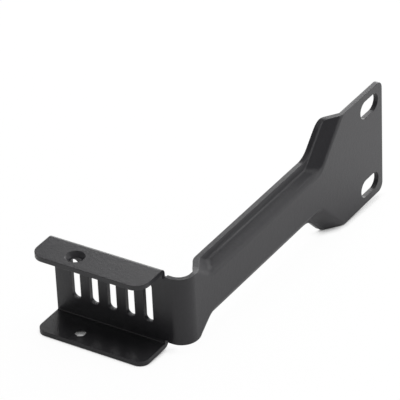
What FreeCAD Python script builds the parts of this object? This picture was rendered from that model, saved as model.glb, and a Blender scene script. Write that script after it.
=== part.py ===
import FreeCAD, Part
import Sketcher
import os

# Rack mount ear bracket, pressed and folded from one steel sheet.
# A flat ear bolts to the rack rail. An arm, stiffened by a pressed rib, reaches
# from the ear to the device. The arm turns back into a vented side plate, whose
# upper and lower flanges hold the device between them.
#
# Working frame: x runs along the arm from the outer face of the side plate,
# y runs to the rear of the rack from the front face, z is up from mid-height.
# The finished bracket is moved so that its origin lies midway between the two
# rack slots, on the face that meets the rail.

SIZES = [
    # The sheet and its folds, the radius of a fold being that of its inner side
    ("sheet_thickness", 1.8),
    ("reach", 129.0),
    ("plate_run", 50.7),
    ("corner_radius", 4.2),
    ("fold_radius", 0.3),
    # The arm and the ear, seen from the front
    ("arm_height", 25.2),
    ("edge_draw", 0.3),
    ("ear_width", 35.0),
    ("ear_slot_margin", 6.125),
    ("ear_corner_radius", 3.0),
    ("flare_angle", 45.0),
    ("flare_radius", 8.0),
    # The rib: the sheet beside it is pressed back, with sloping walls
    ("rib_margin", 4.65),
    ("rib_depth", 4.2),
    ("rib_gap", 0.47),
    ("rib_land", 7.25),
    ("rib_side_draft", 19.0),
    ("rib_end_draft", 45.0),
    ("rib_start_angle", 37.0),
    ("rib_corner_radius", 4.0),
    ("rib_bend_radius", 0.8),
    ("press_overrun", 0.6),
    # The two flanges of the side plate and the notch where each begins
    ("flange_gap", 2.7),
    ("flange_rise", 0.6),
    ("upper_flange_depth", 12.1),
    ("upper_flange_overhang", 1.1),
    ("upper_corner_radius", 4.8),
    ("upper_rear_corner_radius", 1.8),
    ("lower_flange_depth", 13.2),
    ("lower_corner_radius", 3.5),
    ("relief_width", 1.0),
    ("relief_depth", 0.6),
    # Slots for the rack screws
    ("rack_slot_pitch", 31.75),
    ("rack_slot_edge", 9.0),
    ("rack_slot_length", 12.2),
    ("rack_slot_width", 6.7),
    # Vent slots in the side plate
    ("vent_count", 5),
    ("vent_width", 3.4),
    ("vent_front_margin", 6.0),
    ("vent_rear_margin", 8.0),
    ("vent_top_margin", 3.9),
    ("vent_bottom_margin", 5.9),
    # Countersunk holes for the device screws
    ("upper_screw_edge", 5.8),
    ("upper_screw_rear", 13.1),
    ("lower_screw_edge", 5.0),
    ("lower_screw_rear", 14.4),
    ("screw_bore", 3.6),
    ("screw_head", 6.8),
    ("screw_head_angle", 90.0),
    # How far a cutting shape passes what it cuts
    ("cut_margin", 8.0),
]

NEAR = 1e-4

# Expressions over the sizes that more than one feature needs.
OUTER_CORNER = "(sizes.corner_radius + sizes.sheet_thickness)"
ARM_HALF = "(sizes.arm_height / 2)"
PRESSED_HALF = "(%s - sizes.edge_draw)" % ARM_HALF
RIB_HALF = "(%s - sizes.rib_margin)" % PRESSED_HALF
EAR_HALF = "(sizes.rack_slot_pitch / 2 + sizes.ear_slot_margin)"
BLOCK_HALF = "(%s + sizes.cut_margin)" % EAR_HALF
BLOCK_END = "(sizes.reach + sizes.cut_margin)"
FLARE_TOP = "(sizes.reach - sizes.ear_width)"
FLARE_ROOT = "(%s - (%s - %s) / tan(sizes.flare_angle))" % (FLARE_TOP, EAR_HALF, PRESSED_HALF)
FLANGE_START = "(%s + sizes.flange_gap)" % OUTER_CORNER
FLANGE_RUN = "(sizes.plate_run - %s)" % FLANGE_START
FLANGE_INSIDE = "(%s + sizes.flange_rise)" % ARM_HALF
FLANGE_OUTSIDE = "(%s + sizes.sheet_thickness)" % FLANGE_INSIDE
FLANGE_FOOT = "(%s - sizes.relief_depth)" % ARM_HALF
THROUGH_SHEET = "(2 * sizes.sheet_thickness)"


def make_sheet(document):
    table = document.addObject("Spreadsheet::Sheet", "sizes")
    for row, (alias, value) in enumerate(SIZES, start=1):
        table.set("A%d" % row, alias)
        table.set("B%d" % row, str(value))
        table.setAlias("B%d" % row, alias)
    document.recompute()
    return table


doc = FreeCAD.newDocument("ear_bracket")
sheet = make_sheet(doc)


def size(expression):
    """The number that an expression over the sizes gives."""
    return float(sheet.evalExpression(expression.replace("sizes.", "")))


# Sketches


def origin_plane(body, role):
    for feature in body.Origin.OriginFeatures:
        if feature.Role == role:
            return feature
    raise RuntimeError("no plane " + role)


def new_sketch(body, name, role, offset="0"):
    """A sketch on an origin plane of its own body, moved along the plane's normal."""
    sketch = body.newObject("Sketcher::SketchObject", name)
    sketch.AttachmentSupport = (origin_plane(body, role), [""])
    sketch.MapMode = "FlatFace"
    sketch.setExpression("AttachmentOffset.Base.z", offset)
    return sketch


def point(across, up):
    return FreeCAD.Vector(size(across), size(up), 0)


def hold(sketch, kind, expression, *where):
    """A dimension of the sketch that follows an expression."""
    index = sketch.addConstraint(Sketcher.Constraint(kind, *where, size(expression)))
    sketch.setExpression("Constraints[%d]" % index, expression)


def pin(sketch, geometry, end, across, up):
    hold(sketch, "DistanceX", across, -1, 1, geometry, end)
    hold(sketch, "DistanceY", up, -1, 1, geometry, end)


def outline(sketch, corners, arcs=()):
    """A closed outline through corners, each a pair of expressions.

    An arc is given by the number of the corner it leaves, the pair at its
    centre and 1 where it turns anticlockwise or -1 where it turns clockwise.
    """
    rounds = {leaves: (centre, turn) for leaves, centre, turn in arcs}
    pieces = []
    for number, corner in enumerate(corners):
        start = point(*corner)
        end = point(*corners[(number + 1) % len(corners)])
        if number in rounds:
            pieces.append(add_arc(sketch, start, end, *rounds[number]))
        else:
            pieces.append((sketch.addGeometry(Part.LineSegment(start, end), False), 1, 2))
    for number, corner in enumerate(corners):
        geometry, start, _ = pieces[number]
        before, _, end = pieces[number - 1]
        sketch.addConstraint(Sketcher.Constraint("Coincident", before, end, geometry, start))
        pin(sketch, geometry, start, *corner)
    for number, (centre, _) in rounds.items():
        chord = point(*corners[(number + 1) % len(corners)]) - point(*corners[number])
        across, up = centre
        if abs(chord.x) < abs(chord.y):
            hold(sketch, "DistanceX", across, -1, 1, pieces[number][0], 3)
        else:
            hold(sketch, "DistanceY", up, -1, 1, pieces[number][0], 3)


def add_arc(sketch, start, end, centre, turn):
    """An arc, as its number and the sketch's names for where it starts and ends."""
    middle = point(*centre)
    circle = Part.Circle(middle, FreeCAD.Vector(0, 0, 1), (start - middle).Length)
    first, last = (start, end) if turn > 0 else (end, start)
    arc = Part.ArcOfCircle(circle, circle.parameter(first), circle.parameter(last))
    geometry = sketch.addGeometry(arc, False)
    return (geometry, 1, 2) if turn > 0 else (geometry, 2, 1)


def rectangle(sketch, left, right, bottom, top):
    outline(sketch, [(left, bottom), (right, bottom), (right, top), (left, top)])


def disc(sketch, across, up, diameter):
    circle = Part.Circle(point(across, up), FreeCAD.Vector(0, 0, 1), size(diameter) / 2)
    geometry = sketch.addGeometry(circle, False)
    pin(sketch, geometry, 3, across, up)
    hold(sketch, "Diameter", diameter, geometry)


def slot(sketch, left, right, bottom, top, upright):
    """A slot with round ends that fills a rectangle."""
    if upright:
        radius = "((%s - %s) / 2)" % (right, left)
        centre = "((%s + %s) / 2)" % (right, left)
        low = "(%s + %s)" % (bottom, radius)
        high = "(%s - %s)" % (top, radius)
        corners = [(left, low), (right, low), (right, high), (left, high)]
        arcs = [(0, (centre, low), 1), (2, (centre, high), 1)]
    else:
        radius = "((%s - %s) / 2)" % (top, bottom)
        centre = "((%s + %s) / 2)" % (top, bottom)
        near = "(%s + %s)" % (left, radius)
        far = "(%s - %s)" % (right, radius)
        corners = [(near, bottom), (far, bottom), (far, top), (near, top)]
        arcs = [(1, (far, centre), 1), (3, (near, centre), 1)]
    outline(sketch, corners, arcs)


# Features


def pad(body, sketch, name, length, reverse=False, middle=False):
    feature = body.newObject("PartDesign::Pad", name)
    feature.Profile = sketch
    feature.Midplane = middle
    feature.Reversed = reverse
    feature.setExpression("Length", length)
    doc.recompute()


def pocket(body, sketch, name, length, reverse=False, middle=False):
    before = body.Shape.Volume
    feature = body.newObject("PartDesign::Pocket", name)
    feature.Profile = sketch
    feature.Midplane = middle
    feature.Reversed = reverse
    feature.setExpression("Length", length)
    doc.recompute()
    if body.Shape.Volume > before - NEAR:
        raise RuntimeError(name + " cuts nothing")
    return feature


def mirror(body, feature, name):
    """The same feature again below mid-height."""
    copy = body.newObject("PartDesign::Mirrored", name)
    copy.Originals = [feature]
    copy.MirrorPlane = (origin_plane(body, "XY_Plane"), [""])
    body.Tip = copy
    doc.recompute()


def fillet(body, name, radius, wanted):
    """Rounds each edge whose bounding box the test wants."""
    base = body.Tip
    names = [
        "Edge%d" % number
        for number, edge in enumerate(base.Shape.Edges, start=1)
        if wanted(edge.BoundBox)
    ]
    if not names:
        raise RuntimeError(name + " finds no edge")
    feature = body.newObject("PartDesign::Fillet", name)
    feature.Base = (base, names)
    feature.setExpression("Radius", radius)
    doc.recompute()


# Tests on an edge's bounding box


def same(first, second):
    return abs(first - second) < NEAR


def in_front_plane(box, depth):
    return same(box.YMin, depth) and same(box.YMax, depth)


def on_block_end(box):
    half = size(BLOCK_HALF)
    return same(box.ZMin, box.ZMax) and same(abs(box.ZMin), half)


def upright_at(box, across):
    return same(box.XMin, across) and same(box.XMax, across) and box.ZLength > NEAR


def through_at(box, across):
    """An edge that runs front to back at one distance along the arm."""
    return same(box.XMin, across) and same(box.XMax, across) and same(box.ZMin, box.ZMax)


# The pressed sheet. Its front skin and its back skin have the same form, one
# sheet thickness apart, so one function makes the solid behind either of them.


def dish_corners(side_shift, end_shift):
    """The dish above the rib, with its side and end walls moved into the dish.

    The near end leaves the main bend's foot square to the arm, then slants
    towards the rib. The far end runs parallel to the flank of the ear.
    """
    outer_bend = "((sizes.rib_bend_radius + sizes.sheet_thickness) * tan((90 - sizes.rib_end_draft) / 2))"
    rim_foot = "(%s + sizes.rib_gap + %s)" % (OUTER_CORNER, outer_bend)
    kink_rise = "(sizes.rib_margin + sizes.press_overrun)"
    rib_start = "(%s + %s / tan(sizes.rib_start_angle))" % (rim_foot, kink_rise)
    rib_end = "(%s + sizes.rib_land - sizes.rib_margin / tan(sizes.flare_angle))" % FLARE_ROOT

    side = "(%s + %s)" % (RIB_HALF, side_shift)
    foot = "(%s + %s)" % (rim_foot, end_shift)
    slant = "(%s * cos(sizes.rib_start_angle))" % side_shift
    near = "(%s + (%s - %s) / sin(sizes.rib_start_angle))" % (rib_start, end_shift, slant)
    climb = "((%s - %s) * tan(sizes.rib_start_angle))" % (rib_start, foot)
    kink = "(%s + %s + %s / cos(sizes.rib_start_angle))" % (RIB_HALF, climb, end_shift)
    lean = "(%s / sin(sizes.flare_angle))" % end_shift
    far = "(%s + %s / tan(sizes.flare_angle) - %s)" % (rib_end, side_shift, lean)
    rise = "((%s - %s) / tan(sizes.flare_angle))" % (BLOCK_HALF, RIB_HALF)
    top = "(%s + %s - %s)" % (rib_end, rise, lean)
    return [(foot, BLOCK_HALF), (foot, kink), (near, side), (far, side), (top, BLOCK_HALF)]


def press_dishes(body, name, skin):
    """Presses the sheet back above and below the rib, with sloping walls."""
    side_lean = "tan(sizes.rib_side_draft)"
    end_lean = "tan(sizes.rib_end_draft)"
    side_rim = "(-%s * tan((90 - sizes.rib_side_draft) / 2))" % skin
    end_rim = "(-%s * tan((90 - sizes.rib_end_draft) / 2))" % skin
    side_floor = "(%s + sizes.rib_depth * %s)" % (side_rim, side_lean)
    end_floor = "(%s + sizes.rib_depth * %s)" % (end_rim, end_lean)
    rim = new_sketch(body, name + "_rim", "XZ_Plane", "-" + skin)
    outline(rim, dish_corners(side_rim, end_rim))
    floor = new_sketch(body, name + "_floor", "XZ_Plane", "-(%s + sizes.rib_depth)" % skin)
    outline(floor, dish_corners(side_floor, end_floor))
    dish = body.newObject("PartDesign::SubtractiveLoft", name + "_dish")
    dish.Profile = rim
    dish.Sections = [floor]
    dish.Ruled = True
    doc.recompute()
    mirror(body, dish, name + "_both_dishes")


def round_dishes(body, name, skin):
    """Rounds the dish's corners, the bends of its floor and those of its rim."""
    rim = size(skin)
    floor = size("%s + sizes.rib_depth" % skin)
    half = size(BLOCK_HALF)
    main_bend = size(OUTER_CORNER)
    end = size(BLOCK_END)

    def corner(box):
        spans = same(box.YMin, rim) and same(box.YMax, floor)
        return spans and max(abs(box.ZMin), abs(box.ZMax)) < half - NEAR

    def floor_bend(box):
        return in_front_plane(box, floor) and not on_block_end(box)

    def rim_bend(box):
        inside = box.XMin > main_bend + NEAR and box.XMax < end - NEAR
        return in_front_plane(box, rim) and inside and not on_block_end(box)

    fillet(body, name + "_dish_corners", "sizes.rib_corner_radius + " + skin, corner)
    fillet(body, name + "_floor_bends", "sizes.rib_bend_radius + " + skin, floor_bend)
    outer_bend = "sizes.rib_bend_radius + sizes.sheet_thickness - " + skin
    fillet(body, name + "_rim_bends", outer_bend, rim_bend)


def make_skin(name, skin):
    """The solid behind a skin that lies so far behind the front face."""
    body = doc.addObject("PartDesign::Body", name)
    plan = new_sketch(body, name + "_plan", "XY_Plane")
    rectangle(plan, skin, BLOCK_END, skin, "sizes.plate_run")
    pad(body, plan, name + "_block", "2 * " + BLOCK_HALF, middle=True)
    corner = size(skin)
    main_bend = "%s - %s" % (OUTER_CORNER, skin)
    fillet(
        body,
        name + "_main_bend",
        main_bend,
        lambda box: upright_at(box, corner) and same(box.YMax, corner),
    )
    press_dishes(body, name, skin)
    round_dishes(body, name, skin)
    return body


def make_blank_outline():
    """The bracket's outline from the front: plate and arm, flared out to the ear."""
    body = doc.addObject("PartDesign::Body", "front_outline")
    view = new_sketch(body, "front_view", "XZ_Plane")
    draw_start = "(%s + sizes.rib_gap)" % OUTER_CORNER
    draw_end = "(%s + sizes.rib_depth)" % draw_start
    upper_edge = [
        ("sizes.reach", EAR_HALF),
        (FLARE_TOP, EAR_HALF),
        (FLARE_ROOT, PRESSED_HALF),
        (draw_end, PRESSED_HALF),
        (draw_start, ARM_HALF),
        ("-sizes.cut_margin", ARM_HALF),
    ]
    lower_edge = [(across, "-" + up) for across, up in reversed(upper_edge)]
    outline(view, upper_edge + lower_edge)
    pad(body, view, "front_prism", "2 * (sizes.plate_run + sizes.cut_margin)", middle=True)
    flare_ends = (size(FLARE_ROOT), size(FLARE_TOP))
    outer_edge = size("sizes.reach")
    fillet(
        body,
        "flare_rounds",
        "sizes.flare_radius",
        lambda box: any(through_at(box, across) for across in flare_ends),
    )
    fillet(
        body,
        "ear_corners",
        "sizes.ear_corner_radius",
        lambda box: through_at(box, outer_edge),
    )
    return body


def make_pressed_sheet():
    """The sheet bent to the side plate, pressed round the rib and trimmed."""
    sheet_form = doc.addObject("Part::Cut", "sheet_form")
    sheet_form.Base = make_skin("front_skin", "0")
    sheet_form.Tool = make_skin("back_skin", "sizes.sheet_thickness")
    trimmed = doc.addObject("Part::Common", "pressed_sheet")
    trimmed.Base = sheet_form
    trimmed.Tool = make_blank_outline()
    doc.recompute()
    return trimmed


# The features of the finished bracket


def add_flange(body, name, side, depth, overhang, corner_radius):
    """A flange folded outwards from the side plate: side is 1 above, -1 below."""
    sign = "" if side > 0 else "-"
    foot = sign + FLANGE_FOOT
    fold_foot = sign + "(%s - sizes.fold_radius)" % FLANGE_INSIDE
    inside = sign + FLANGE_INSIDE
    outside = sign + FLANGE_OUTSIDE
    fold = "-sizes.fold_radius"
    section = new_sketch(body, name + "_section", "XZ_Plane", "-" + FLANGE_START)
    corners = [
        ("0", foot),
        ("0", fold_foot),
        (fold, inside),
        ("-" + depth, inside),
        ("-" + depth, outside),
        (fold, outside),
        ("sizes.sheet_thickness", fold_foot),
        ("sizes.sheet_thickness", foot),
    ]
    outline(section, corners, [(1, (fold, fold_foot), side), (5, (fold, fold_foot), -side)])
    pad(body, section, name, "%s + %s" % (FLANGE_RUN, overhang), reverse=True)
    free_edge = -size(depth)

    def corner(box):
        return upright_at(box, free_edge) and box.ZMin * side > 0

    fillet(body, name + "_corners", corner_radius, corner)


def round_rear_corner(body):
    """Rounds the corner beside the fold where the upper flange passes the side plate."""
    end = "(sizes.plate_run + sizes.upper_flange_overhang)"
    start = "(%s - sizes.upper_rear_corner_radius)" % end
    beyond = "(%s + sizes.cut_margin)" % end
    across = "(sizes.sheet_thickness - sizes.upper_rear_corner_radius)"
    outside = "(sizes.sheet_thickness + sizes.cut_margin)"
    view = new_sketch(body, "rear_corner_view", "XY_Plane", FLANGE_FOOT)
    corners = [
        ("sizes.sheet_thickness", start),
        (across, end),
        (across, beyond),
        (outside, beyond),
        (outside, start),
    ]
    outline(view, corners, [(0, (across, start), 1)])
    pocket(body, view, "upper_rear_corner", BLOCK_HALF, reverse=True)


def cut_relief_notches(body):
    """The notch that parts each flange's fold from the rest of the edge."""
    view = new_sketch(body, "relief_view", "YZ_Plane")
    rectangle(
        view,
        "(%s - sizes.relief_width)" % FLANGE_START,
        FLANGE_START,
        FLANGE_FOOT,
        BLOCK_HALF,
    )
    upper = pocket(body, view, "upper_relief", "2 * " + THROUGH_SHEET, middle=True)
    mirror(body, upper, "both_reliefs")


def cut_rack_slots(body):
    view = new_sketch(body, "rack_slot_view", "XZ_Plane")
    outer_end = "(sizes.reach - sizes.rack_slot_edge + sizes.rack_slot_length / 2)"
    slot(
        view,
        "(%s - sizes.rack_slot_length)" % outer_end,
        outer_end,
        "((sizes.rack_slot_pitch - sizes.rack_slot_width) / 2)",
        "((sizes.rack_slot_pitch + sizes.rack_slot_width) / 2)",
        upright=False,
    )
    upper = pocket(body, view, "upper_rack_slot", THROUGH_SHEET)
    mirror(body, upper, "both_rack_slots")


def cut_vents(body):
    view = new_sketch(body, "vent_view", "YZ_Plane")
    first = "(%s + sizes.vent_front_margin)" % FLANGE_START
    slot(
        view,
        "(%s - sizes.vent_width / 2)" % first,
        "(%s + sizes.vent_width / 2)" % first,
        "(sizes.vent_bottom_margin - %s)" % ARM_HALF,
        "(%s - sizes.vent_top_margin)" % ARM_HALF,
        upright=True,
    )
    front_vent = pocket(body, view, "front_vent", THROUGH_SHEET, reverse=True)
    row = body.newObject("PartDesign::LinearPattern", "vents")
    row.Originals = [front_vent]
    row.Direction = (view, ["H_Axis"])
    row.setExpression("Length", "%s - sizes.vent_front_margin - sizes.vent_rear_margin" % FLANGE_RUN)
    row.setExpression("Occurrences", "sizes.vent_count")
    body.Tip = row
    doc.recompute()


def drill_screw_hole(body, name, side, edge, depth, rear):
    """A hole through a flange, countersunk on the flange's outer face."""
    sign = "" if side > 0 else "-"
    place = new_sketch(body, name + "_place", "XY_Plane", sign + FLANGE_OUTSIDE)
    disc(place, "%s - %s" % (edge, depth), "sizes.plate_run - " + rear, "sizes.screw_bore")
    doc.recompute()
    before = body.Shape.Volume
    hole = body.newObject("PartDesign::Hole", name)
    hole.Profile = place
    hole.Reversed = side < 0
    hole.ThreadType = "None"
    hole.DepthType = "Dimension"
    hole.DrillPoint = "Flat"
    hole.HoleCutType = "Countersink"
    hole.setExpression("Depth", THROUGH_SHEET)
    hole.setExpression("Diameter", "sizes.screw_bore")
    hole.setExpression("HoleCutDiameter", "sizes.screw_head")
    hole.setExpression("HoleCutCountersinkAngle", "sizes.screw_head_angle")
    doc.recompute()
    if body.Shape.Volume > before - NEAR:
        raise RuntimeError(name + " cuts nothing")


def make_bracket():
    body = doc.addObject("PartDesign::Body", "ear_bracket")
    body.Label = "ear_bracket"
    body.BaseFeature = make_pressed_sheet()
    doc.recompute()
    cut_relief_notches(body)
    upper = "sizes.upper_flange_depth"
    lower = "sizes.lower_flange_depth"
    add_flange(body, "upper_flange", 1, upper, "sizes.upper_flange_overhang", "sizes.upper_corner_radius")
    add_flange(body, "lower_flange", -1, lower, "0", "sizes.lower_corner_radius")
    round_rear_corner(body)
    drill_screw_hole(body, "upper_screw_hole", 1, "sizes.upper_screw_edge", upper, "sizes.upper_screw_rear")
    drill_screw_hole(body, "lower_screw_hole", -1, "sizes.lower_screw_edge", lower, "sizes.lower_screw_rear")
    cut_rack_slots(body)
    cut_vents(body)
    body.setExpression("Placement.Base.x", "sizes.rack_slot_edge - sizes.reach")
    body.setExpression("Placement.Base.y", "-sizes.sheet_thickness")
    doc.recompute()
    return body


def check_objects():
    for item in doc.Objects:
        if "Invalid" in item.State or "Error" in item.State:
            raise RuntimeError("%s failed: %s" % (item.Name, item.State))


def write_step(body):
    shape = body.Shape
    if shape.isNull() or not shape.isValid() or len(shape.Solids) != 1:
        raise RuntimeError(body.Label + " isn't one valid solid")
    shape.exportStep("parts/%s.step" % body.Label)


bracket = make_bracket()
check_objects()
os.makedirs("parts", exist_ok=True)
write_step(bracket)
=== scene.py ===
import math

import bmesh
import bpy
from mathutils import Matrix, Vector
from mathutils.geometry import intersect_point_line


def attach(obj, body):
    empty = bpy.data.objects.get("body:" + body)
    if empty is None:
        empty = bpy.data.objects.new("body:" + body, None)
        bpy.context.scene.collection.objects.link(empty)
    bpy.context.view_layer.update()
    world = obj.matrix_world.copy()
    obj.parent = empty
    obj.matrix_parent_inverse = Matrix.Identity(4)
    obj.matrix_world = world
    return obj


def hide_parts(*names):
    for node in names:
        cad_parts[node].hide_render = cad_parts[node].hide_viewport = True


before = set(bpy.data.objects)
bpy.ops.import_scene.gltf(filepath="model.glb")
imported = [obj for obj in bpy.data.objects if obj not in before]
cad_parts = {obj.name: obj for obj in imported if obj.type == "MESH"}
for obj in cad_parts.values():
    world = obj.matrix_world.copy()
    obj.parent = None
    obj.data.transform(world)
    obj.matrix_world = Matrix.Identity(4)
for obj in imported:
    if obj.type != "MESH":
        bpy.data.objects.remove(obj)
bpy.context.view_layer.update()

MM = 0.001
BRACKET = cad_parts["ear_bracket"]

# Coated sheet
MERGE_DISTANCE = 0.06 * MM
FLAT_ANGLE = math.radians(0.3)
CUT_EDGE_ANGLE = math.radians(45)
CUT_EDGE_MARK = "cut_edge"
EDGE_ROUND = 0.10 * MM
EDGE_SEGMENTS = 2
CIRCLE_PROFILE = 0.5
CLEAR_STRIP = 0.4 * MM
LOW_WALL = 2.2 * EDGE_ROUND
LONG_FOLD = 5 * MM
TIGHT_BEND_MARK = "tight_bend"
GENTLE_CURVATURE = 0.8 / MM
TIGHT_CURVATURE = 2.4 / MM

# Powder coat
COAT_COLOUR = (0.0384, 0.0372, 0.0428, 1.0)
COAT_SHADE = (0.0304, 0.0294, 0.0340, 1.0)
# The worn colour below serves both real wear on cut edges and specks and a painted highlight along
# tight bends
WORN_AND_HIGHLIGHT_COLOUR = (0.1000, 0.1000, 0.1050, 1.0)
COAT_ROUGHNESS = 0.35
COAT_SPECULAR = 0.46
NOISE_MIDDLE = 0.5
CLOUD_SIZE = 36 * MM
CLOUD_DETAIL = 3.0
CLOUD_TONE = 0.8
CLOUD_ROUGHNESS = 0.10
PEEL_SIZE = 1.1 * MM
PEEL_DETAIL = 1.0
PEEL_SHARE = 0.65
GRAIN_SIZE = 0.28 * MM
GRAIN_DETAIL = 2.0
GRAIN_ROUGHNESS = 0.10
RELIEF_STRENGTH = 0.4
RELIEF_DEPTH = 0.12 * MM
SPECK_SIZE = 0.4 * MM
SPECK_DETAIL = 0.0
SPECK_RANGE = (0.74, 0.82)
SPECK_WEAR = 0.15
EDGE_WEAR = 0.2
# Strength of the painted highlight laid in the worn colour along tight bends
BEND_HIGHLIGHT = 1.8
WORN_POLISH = 0.12

# View of the photo
VIEW_PLACE = Vector((-0.7757, -0.4385, 0.5350))
VIEW_YAW = math.radians(56.77)
VIEW_PITCH = math.radians(31.95)
VIEW_ROLL = math.radians(2.66)
VIEW_FOCAL_PIXELS = 2982.5
VIEW_PIXELS = 400
SENSOR_MILLIMETRES = 36

# Studio
WHITE = (1.0, 1.0, 1.0, 1.0)
PLACE_DECIMALS = 5
CLEAR_OF_FOOT = 10 * MM
FLOOR_SIZE = 3.0
FLOOR_COLOUR = (0.8, 0.8, 0.8, 1.0)
FLOOR_WHITE = 1.05
FLOOR_GLOW = 0.92
CONTACT_SHADOW = 4 * MM
CONTACT_RANGE = (0.12, 0.6)
REFLECTED_SHADOW = 90 * MM
REFLECTED_RANGE = (0.1, 1.0)
SHADOW_SAMPLES = 4
AIR_SEEN = 1.0
AIR_REFLECTED = 0.3
AIR_LIGHT = 0.08
STUDIO_CENTRE = Vector((-0.062, 0.024, 0.0))
LAMP_DISTANCE = 1.1
LAMP_SIZE = 0.7
LAMPS = (
    # name, azimuth and elevation in degrees, watts
    ("front_right", 30, 12, 2.4),
    ("right", 75, 12, 0.8),
    ("rear_right", 110, 16, 4.4),
    ("upper_right", 45, 45, 1.4),
    ("upper_side", 90, 30, 1.0),
    ("overhead", 0, 90, 2.8),
)

# Places of a Mix node's colour sockets, which share their names with its other sockets
MIX_FIRST_COLOUR = 6
MIX_SECOND_COLOUR = 7
MIX_COLOUR = 2


class Value:
    """A number in a node tree, so that shader maths reads as arithmetic."""

    def __init__(self, tree, socket):
        self.tree = tree
        self.socket = socket

    def __add__(self, other):
        return self.tree.maths("ADD", self, other)

    def __sub__(self, other):
        return self.tree.maths("SUBTRACT", self, other)

    def __rsub__(self, other):
        return self.tree.maths("SUBTRACT", other, self)

    def __mul__(self, other):
        return self.tree.maths("MULTIPLY", self, other)

    __radd__ = __add__
    __rmul__ = __mul__


class Tree:
    """The nodes of one material or world, emptied and built afresh."""

    def __init__(self, owner):
        owner.use_nodes = True
        self.links = owner.node_tree.links
        self.nodes = owner.node_tree.nodes
        self.nodes.clear()

    def add(self, kind, settings=None, **inputs):
        """A node of a kind, with its settings and then the values or links of its sockets."""
        node = self.nodes.new(kind)
        for name, setting in (settings or {}).items():
            setattr(node, name, setting)
        for name, item in inputs.items():
            self.feed(node.inputs[name.replace("_", " ")], item)
        return node

    def feed(self, socket, item):
        """Links a socket to a value or to another socket, or gives it a plain number or colour."""
        if isinstance(item, Value):
            item = item.socket
        if isinstance(item, bpy.types.NodeSocket):
            self.links.new(item, socket)
        else:
            socket.default_value = item

    def value(self, kind, output, settings=None, **inputs):
        """The number that a new node gives at one of its outputs."""
        return Value(self, self.add(kind, settings, **inputs).outputs[output])

    def maths(self, operation, *items):
        node = self.add("ShaderNodeMath", {"operation": operation})
        for socket, item in zip(node.inputs, items):
            self.feed(socket, item)
        return Value(self, node.outputs["Value"])

    def between(self, value, low, high):
        """How far a value is on its way from low to high, held within 0 and 1."""
        return self.value("ShaderNodeMapRange", "Result", Value=value, From_Min=low, From_Max=high)

    def noise(self, place, size, detail):
        return self.value("ShaderNodeTexNoise", "Fac", Vector=place, Scale=1 / size, Detail=detail)

    def attribute(self, name):
        return self.value("ShaderNodeAttribute", "Fac", {"attribute_name": name})

    def mix_colours(self, amount, first, second):
        node = self.add("ShaderNodeMix", {"data_type": "RGBA"}, Factor=amount)
        self.feed(node.inputs[MIX_FIRST_COLOUR], first)
        self.feed(node.inputs[MIX_SECOND_COLOUR], second)
        return node.outputs[MIX_COLOUR]

    def mix_shaders(self, amount, *shaders):
        node = self.add("ShaderNodeMixShader", Fac=amount)
        for socket, shader in zip(node.inputs[1:], shaders):
            self.feed(socket, shader.outputs[0])
        return node.outputs["Shader"]

    def open_air(self, distance):
        """How little of the air within a distance is taken up: 1 in the open, 0 in a corner."""
        samples = {"samples": SHADOW_SAMPLES}
        return self.value("ShaderNodeAmbientOcclusion", "AO", samples, Distance=distance)

    def ray(self, *kinds):
        """1 for a light path's ray that is of one of some kinds, and otherwise 0."""
        found = self.value("ShaderNodeLightPath", kinds[0])
        for kind in kinds[1:]:
            found = self.maths("MAXIMUM", found, self.value("ShaderNodeLightPath", kind))
        return found


# Powder coat
def powder_coat():
    """Satin coat with orange peel, thin and rubbed on cut edges, with a painted highlight along
    tight bends.
    """
    material = bpy.data.materials.new("satin_powder_coat")
    tree = Tree(material)
    place = tree.add("ShaderNodeTexCoord").outputs["Object"]
    clouds = tree.noise(place, CLOUD_SIZE, CLOUD_DETAIL) - NOISE_MIDDLE
    peel = tree.noise(place, PEEL_SIZE, PEEL_DETAIL)
    grain = tree.noise(place, GRAIN_SIZE, GRAIN_DETAIL)
    specks = tree.between(tree.noise(place, SPECK_SIZE, SPECK_DETAIL), *SPECK_RANGE)
    rubbed_edge = tree.attribute(CUT_EDGE_MARK) * EDGE_WEAR
    # Painted highlight: the worn colour laid in a grainy line along tight bends, standing in for the
    # light they catch
    painted_bend_highlight = tree.attribute(TIGHT_BEND_MARK) * grain * BEND_HIGHLIGHT
    # Mask of real wear on cut edges and specks, together with the painted highlight along tight
    # bends
    wear_and_highlight = tree.between(rubbed_edge + painted_bend_highlight + specks * SPECK_WEAR, 0.0, 1.0)
    tone = tree.between(clouds * CLOUD_TONE + grain, 0.0, 1.0)
    coat = tree.mix_colours(tone, COAT_SHADE, COAT_COLOUR)
    colour = tree.mix_colours(wear_and_highlight, coat, WORN_AND_HIGHLIGHT_COLOUR)
    unevenness = clouds * CLOUD_ROUGHNESS + (grain - NOISE_MIDDLE) * GRAIN_ROUGHNESS
    roughness = COAT_ROUGHNESS + unevenness - wear_and_highlight * WORN_POLISH
    relief = peel * PEEL_SHARE + grain * (1.0 - PEEL_SHARE)
    bump = tree.add("ShaderNodeBump", Strength=RELIEF_STRENGTH, Distance=RELIEF_DEPTH, Height=relief)
    shader = tree.add("ShaderNodeBsdfPrincipled", Base_Color=colour, Roughness=roughness,
                      Specular_IOR_Level=COAT_SPECULAR, Normal=bump.outputs["Normal"])
    tree.add("ShaderNodeOutputMaterial", Surface=shader.outputs["BSDF"])
    return material


# Coated sheet
def from_edge(corner, edge):
    """How far a corner lies from an edge."""
    start, end = (vertex.co for vertex in edge.verts)
    share = intersect_point_line(corner.co, start, end)[1]
    return (corner.co - start.lerp(end, min(max(share, 0.0), 1.0))).length


def reach(face, edge):
    """How far a face reaches from the line of one of its edges."""
    start, end = (vertex.co for vertex in edge.verts)
    feet = {corner: intersect_point_line(corner.co, start, end)[0] for corner in face.verts}
    return max((corner.co - foot).length for corner, foot in feet.items())


def bounds_low_wall(edge, cut_edges):
    """Whether an edge borders a wall too low to be rounded from both its edges."""
    for face in edge.link_faces:
        shared = [side for side in face.edges if side in cut_edges]
        if len(shared) > 1 and reach(face, edge) < LOW_WALL:
            return True
    return False


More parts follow.
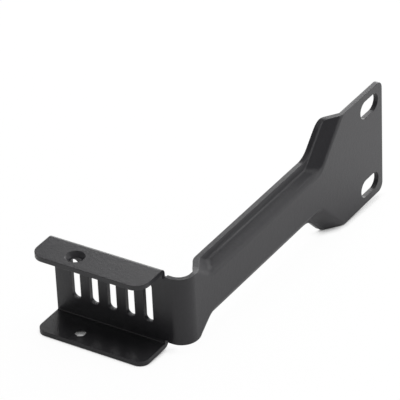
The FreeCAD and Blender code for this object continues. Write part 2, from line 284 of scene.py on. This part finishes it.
def clear_beside(form, edges, cut_edges):
    """Takes out the vertices close beside some edges, so that their rounding has room."""
    crowded = set()
    for edge in edges:
        faces = {face for end in edge.verts for face in end.link_faces}
        for corner in {corner for face in faces for corner in face.verts}:
            on_cut = any(side in cut_edges for side in corner.link_edges)
            if not on_cut and from_edge(corner, edge) < CLEAR_STRIP:
                crowded.add(corner)
    bmesh.ops.dissolve_verts(form, verts=[corner for corner in form.verts if corner in crowded])


def bend_tightness(corner, cut_edges):
    """How tight the long folds at a corner are, from 0 for a gentle one to 1."""
    curvature = 0.0
    for edge in corner.link_edges:
        if edge not in cut_edges and edge.calc_length() > LONG_FOLD:
            width = min(reach(face, edge) for face in edge.link_faces)
            curvature = max(curvature, edge.calc_face_angle() / width)
    share = (curvature - GENTLE_CURVATURE) / (TIGHT_CURVATURE - GENTLE_CURVATURE)
    return min(max(share, 0.0), 1.0)


def plain_form():
    """The bracket's surface with its doubles merged and its flat faces whole."""
    form = bmesh.new()
    form.from_mesh(BRACKET.data)
    bmesh.ops.remove_doubles(form, verts=form.verts, dist=MERGE_DISTANCE)
    bmesh.ops.dissolve_limit(form, angle_limit=FLAT_ANGLE, verts=form.verts, edges=form.edges)
    return form


def round_and_mark(form):
    """Rounds the cut edges, as the coat leaves them, and marks them and the tight bends."""
    cut_mark = form.faces.layers.float.new(CUT_EDGE_MARK)
    bend_mark = form.verts.layers.float.new(TIGHT_BEND_MARK)
    cut_edges = {edge for edge in form.edges if edge.calc_face_angle() > CUT_EDGE_ANGLE}
    for corner in form.verts:
        corner[bend_mark] = bend_tightness(corner, cut_edges)
    rounded_edges = [
        edge for edge in form.edges
        if edge in cut_edges and not bounds_low_wall(edge, cut_edges)
    ]
    clear_beside(form, rounded_edges, cut_edges)
    rounds = bmesh.ops.bevel(form, geom=rounded_edges, offset=EDGE_ROUND, offset_type="OFFSET",
                             segments=EDGE_SEGMENTS, profile=CIRCLE_PROFILE, affect="EDGES",
                             clamp_overlap=False, loop_slide=False)
    for face in rounds["faces"]:
        face[cut_mark] = 1.0


def add_coated_sheet():
    """The folded sheet with its coat, in place of the bare one."""
    form = plain_form()
    round_and_mark(form)
    for face in form.faces:
        face.smooth = True
    mesh = bpy.data.meshes.new("coated_sheet")
    form.to_mesh(mesh)
    form.free()
    mesh.materials.append(powder_coat())
    piece = bpy.data.objects.new("coated_sheet", mesh)
    bpy.context.scene.collection.objects.link(piece)
    piece.modifiers.new("flat_faces_lead", "WEIGHTED_NORMAL")
    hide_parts("ear_bracket")
    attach(piece, "root")


# Studio
def resting_plane():
    """A point and the slope of the plane that carries the bracket, seen along Y."""
    corners = [vertex.co for vertex in BRACKET.data.vertices]
    foot = min(corners, key=lambda corner: (round(corner.x, PLACE_DECIMALS), corner.z))
    ahead = [corner for corner in corners if corner.x > foot.x + CLEAR_OF_FOOT]
    slope = min((corner.z - foot.z) / (corner.x - foot.x) for corner in ahead)
    return foot, math.atan(slope)


def floor_material():
    """White to the eye, with a shadow at the contact and a wider one in reflections."""
    material = bpy.data.materials.new("pale_floor")
    tree = Tree(material)
    contact = tree.between(tree.open_air(CONTACT_SHADOW), *CONTACT_RANGE)
    around = tree.between(tree.open_air(REFLECTED_SHADOW), *REFLECTED_RANGE)
    reflected = tree.ray("Is Glossy Ray")
    unshaded = contact * (1.0 - reflected) + around * reflected
    white = tree.add("ShaderNodeEmission", Strength=unshaded * FLOOR_WHITE)
    matt = tree.add("ShaderNodeBsdfDiffuse", Color=FLOOR_COLOUR)
    seen = tree.ray("Is Camera Ray", "Is Glossy Ray", "Is Transmission Ray")
    tree.add("ShaderNodeOutputMaterial", Surface=tree.mix_shaders(seen * FLOOR_GLOW, matt, white))
    return material


def add_floor():
    """A square floor on the plane that carries the bracket."""
    foot, slope = resting_plane()
    tilt = Matrix.Rotation(-slope, 4, "Y")
    half = FLOOR_SIZE / 2
    square = ((-half, -half), (half, -half), (half, half), (-half, half))
    mesh = bpy.data.meshes.new("studio_floor")
    mesh.from_pydata([foot + tilt @ Vector((x, y, 0)) for x, y in square], [], [(0, 1, 2, 3)])
    mesh.materials.append(floor_material())
    floor = bpy.data.objects.new("studio_floor", mesh)
    bpy.context.scene.collection.objects.link(floor)


def add_softbox(name, azimuth, elevation, watts):
    """A square softbox aimed at the bracket: azimuth 0 is in front and 90 to the right."""
    turn = math.radians(azimuth)
    rise = math.radians(elevation)
    way = Vector((math.sin(turn) * math.cos(rise), -math.cos(turn) * math.cos(rise), math.sin(rise)))
    lamp = bpy.data.lights.new(name, "AREA")
    lamp.shape = "SQUARE"
    lamp.size = LAMP_SIZE
    lamp.energy = watts
    box = bpy.data.objects.new(name, lamp)
    box.location = STUDIO_CENTRE + way * LAMP_DISTANCE
    box.rotation_euler = way.to_track_quat("Z", "Y").to_euler()
    bpy.context.scene.collection.objects.link(box)


def add_world():
    """Air that is white to the eye, grey in reflections and dim as a light."""
    world = bpy.data.worlds.new("studio_air")
    bpy.context.scene.world = world
    tree = Tree(world)
    seen = tree.ray("Is Camera Ray", "Is Transmission Ray")
    reflected = tree.ray("Is Glossy Ray")
    strength = seen * (AIR_SEEN - AIR_LIGHT) + reflected * (AIR_REFLECTED - AIR_LIGHT) + AIR_LIGHT
    air = tree.add("ShaderNodeBackground", Color=WHITE, Strength=strength)
    tree.add("ShaderNodeOutputWorld", Surface=air.outputs["Background"])


def add_camera():
    """A camera that sees the bracket as the photo does."""
    data = bpy.data.cameras.new("photo_view")
    data.sensor_width = SENSOR_MILLIMETRES
    data.lens = VIEW_FOCAL_PIXELS / VIEW_PIXELS * SENSOR_MILLIMETRES
    camera = bpy.data.objects.new("photo_view", data)
    turn = Matrix.Rotation(-VIEW_YAW, 4, "Z")
    tip = Matrix.Rotation(math.pi / 2 - VIEW_PITCH, 4, "X")
    roll = Matrix.Rotation(-VIEW_ROLL, 4, "Z")
    camera.matrix_world = Matrix.Translation(VIEW_PLACE) @ turn @ tip @ roll
    bpy.context.scene.collection.objects.link(camera)
    bpy.context.scene.camera = camera


add_camera()
add_coated_sheet()
add_floor()
add_world()
for lamp in LAMPS:
    add_softbox(*lamp)
bpy.context.scene.view_settings.view_transform = "Standard"
